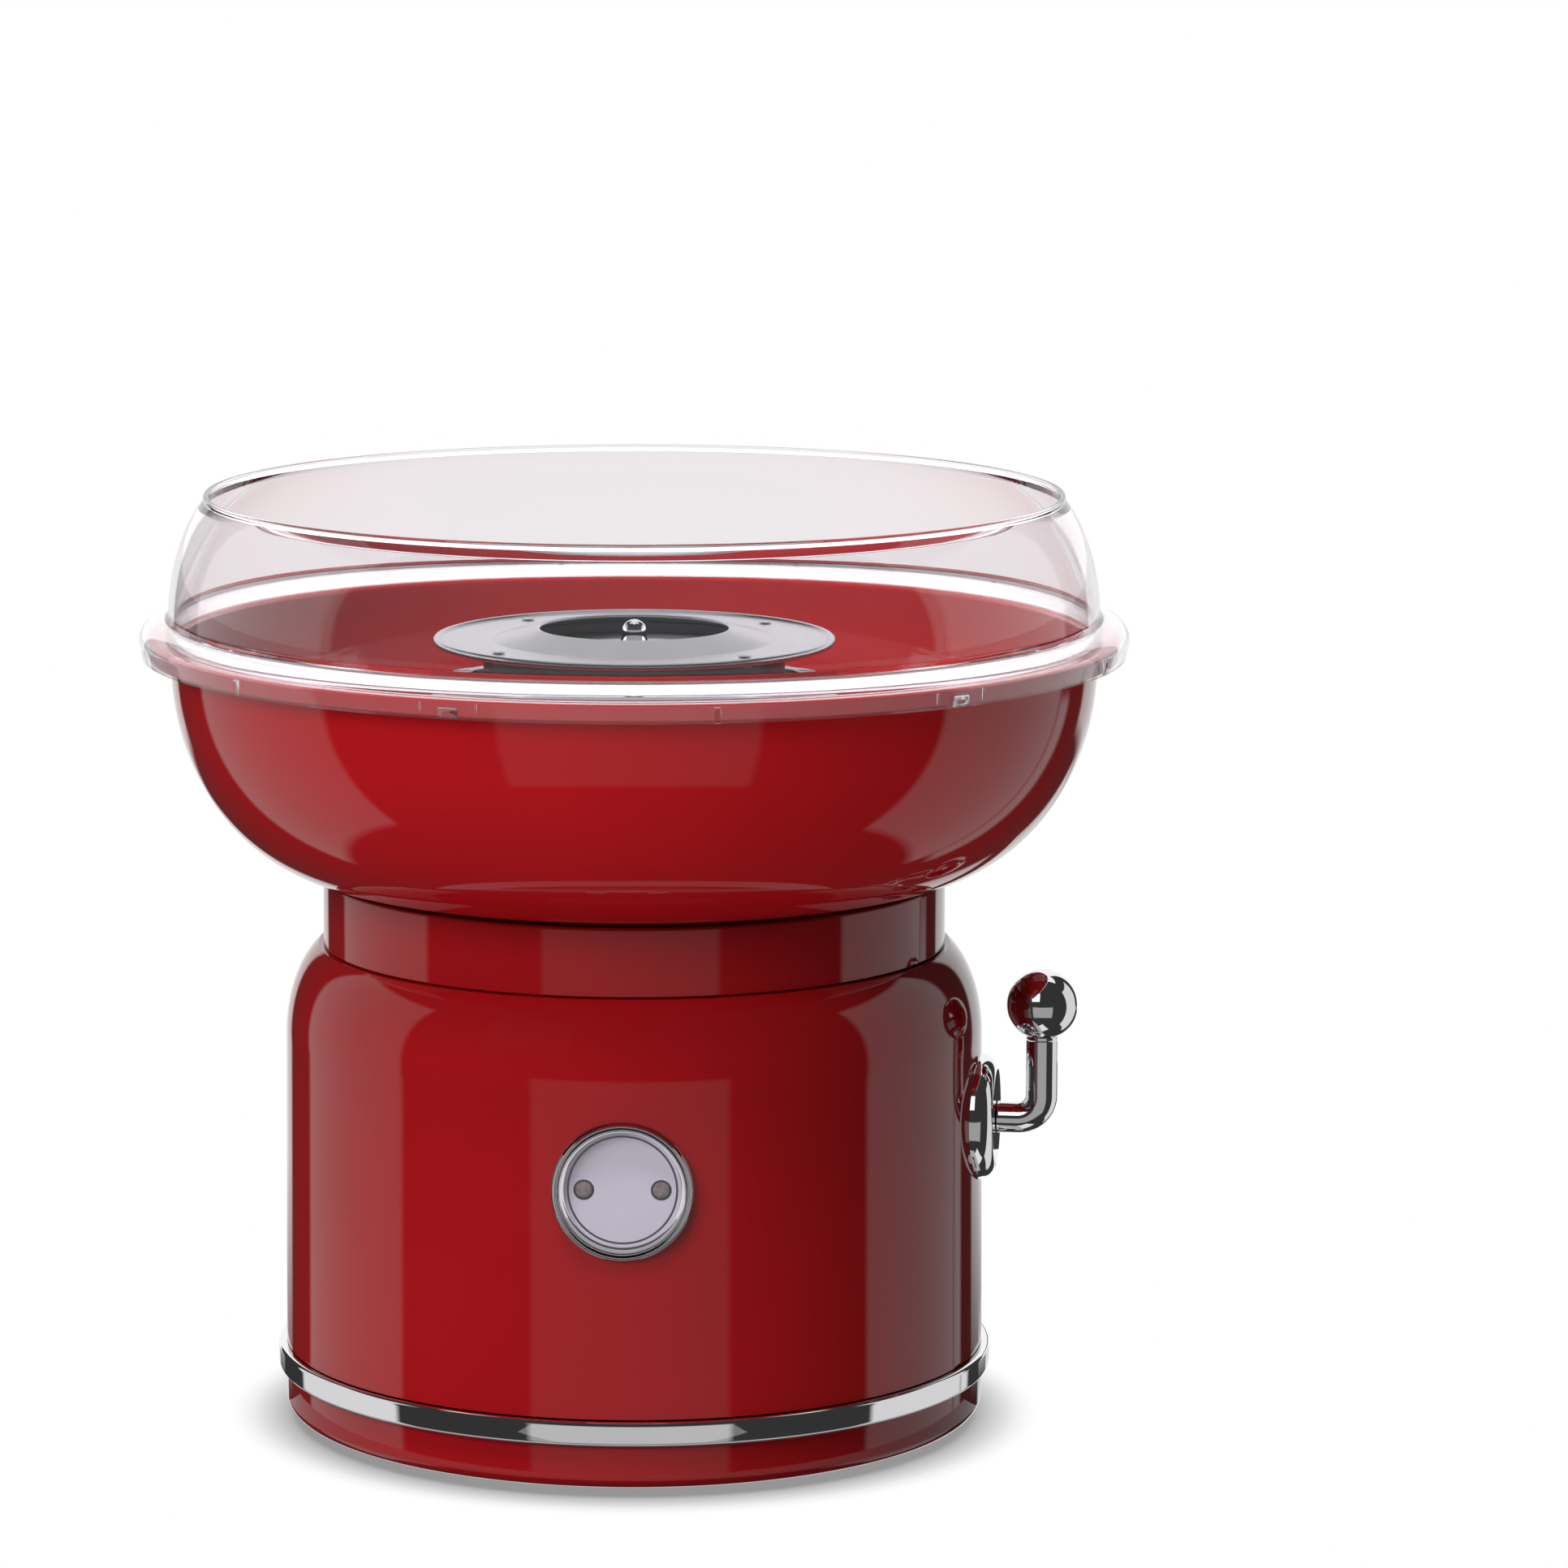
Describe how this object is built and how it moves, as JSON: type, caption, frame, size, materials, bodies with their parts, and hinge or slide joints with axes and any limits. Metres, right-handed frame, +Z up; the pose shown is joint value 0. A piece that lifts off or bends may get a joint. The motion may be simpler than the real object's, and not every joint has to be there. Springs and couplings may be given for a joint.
{
  "type": "countertop cotton candy machine",
  "caption": "Countertop cotton candy machine: round red casing with a side lever switch, open bowl with a clear guard, and a heated spinning sugar head.",
  "frame": {"origin": "on the floor, under the middle of the feet", "axes": "+Z up along the head's spin axis, -Y out through the dial on the front, +X towards the lever"},
  "size_m": [0.3, 0.3, 0.2848],
  "materials": {
    "red_plastic": "polished moulding",
    "clear_plastic": "clear",
    "chrome": "polished",
    "head_aluminium": "satin",
    "dark_steel": "satin, heat tinted",
    "steel": "zinc plated",
    "rubber": "moulded",
    "black_plastic": "moulded",
    "ceramic": "fired, unglazed",
    "brass": "turned",
    "armature": "varnished",
    "plate_paint": "satin",
    "lamp_plastic": "moulded",
    "board": "solder mask",
    "ferrite": "sintered"
  },
  "bodies": {
    "root": {"base_pan": "red_plastic", "chrome_band": "chrome", "foot_1": "rubber", "foot_2": "rubber", "foot_3": "rubber", "foot_4": "rubber", "base_screw_1": "steel", "base_screw_2": "steel", "base_screw_3": "steel", "body_casing": "red_plastic", "top_cover": "red_plastic", "cover_screw_1": "steel", "cover_screw_2": "steel", "cover_screw_3": "steel", "heater_dish": "head_aluminium", "heating_ring": "dark_steel", "heater_post_1": "ceramic", "heater_post_2": "ceramic", "heater_post_3": "ceramic", "thermal_cutout": "steel", "motor_bracket": "steel", "bracket_screw_1": "steel", "bracket_screw_2": "steel", "motor_case": "dark_steel", "motor_end_cap": "black_plastic", "motor_screw_1": "steel", "motor_screw_2": "steel", "top_bush": "brass", "motor_magnet_1": "ferrite", "motor_magnet_2": "ferrite", "dial_bezel": "chrome", "dial_ring_nut": "black_plastic", "dial_plate": "plate_paint", "dial_lens": "clear_plastic", "dial_lamp_1": "lamp_plastic", "dial_lamp_2": "lamp_plastic", "lamp_board": "board", "lever_rosette": "chrome", "rosette_nut": "steel", "switch_bracket": "steel", "switch_body": "black_plastic", "cord_gland": "rubber", "rectifier_board": "board"},
    "rotor": {"motor_shaft": "steel", "drive_pin": "steel", "armature": "armature"},
    "head": {"head_disc": "head_aluminium", "head_drum": "dark_steel", "head_hub": "steel", "cap_nut": "chrome", "rivet_1": "steel", "rivet_2": "steel", "rivet_3": "steel", "rivet_4": "steel"},
    "bowl": {"bowl": "red_plastic"},
    "guard": {"clear_guard": "clear_plastic"},
    "lever": {"lever_arm": "chrome", "lever_ball": "chrome", "switch_cam": "black_plastic"},
    "plunger": {"switch_plunger": "ceramic"}
  },
  "joints": [
    {"name": "lever_turn", "type": "hinge", "parent": "root", "child": "lever", "pos_m": [0, 0, 0.095], "axis": [0.9945, -0.1045, 0], "range_deg": [0, 90]},
    {"name": "plunger_travel", "type": "slide", "parent": "root", "child": "plunger", "axis": [0, 0, -1], "range_m": [0, 0.002]},
    {"name": "rotor_spin", "type": "hinge", "parent": "root", "child": "rotor", "pos_m": [0, 0, 0.19], "axis": [0, 0, 1], "continuous": true},
    {"name": "head_lift", "type": "slide", "parent": "rotor", "child": "head", "axis": [0, 0, 1], "range_m": [0, 0.15]},
    {"name": "bowl_lift", "type": "slide", "parent": "root", "child": "bowl", "axis": [0, 0, 1], "range_m": [0, 0.09]},
    {"name": "guard_lift", "type": "slide", "parent": "bowl", "child": "guard", "axis": [0, 0, 1], "range_m": [0, 0.08]}
  ],
  "couplings": [
    {"joint": "plunger_travel", "follows": "lever_turn", "m_per_rad": 0.0012732},
    {"joint": "bowl_lift", "follows": "head_lift", "ratio": 0.6}
  ]
}
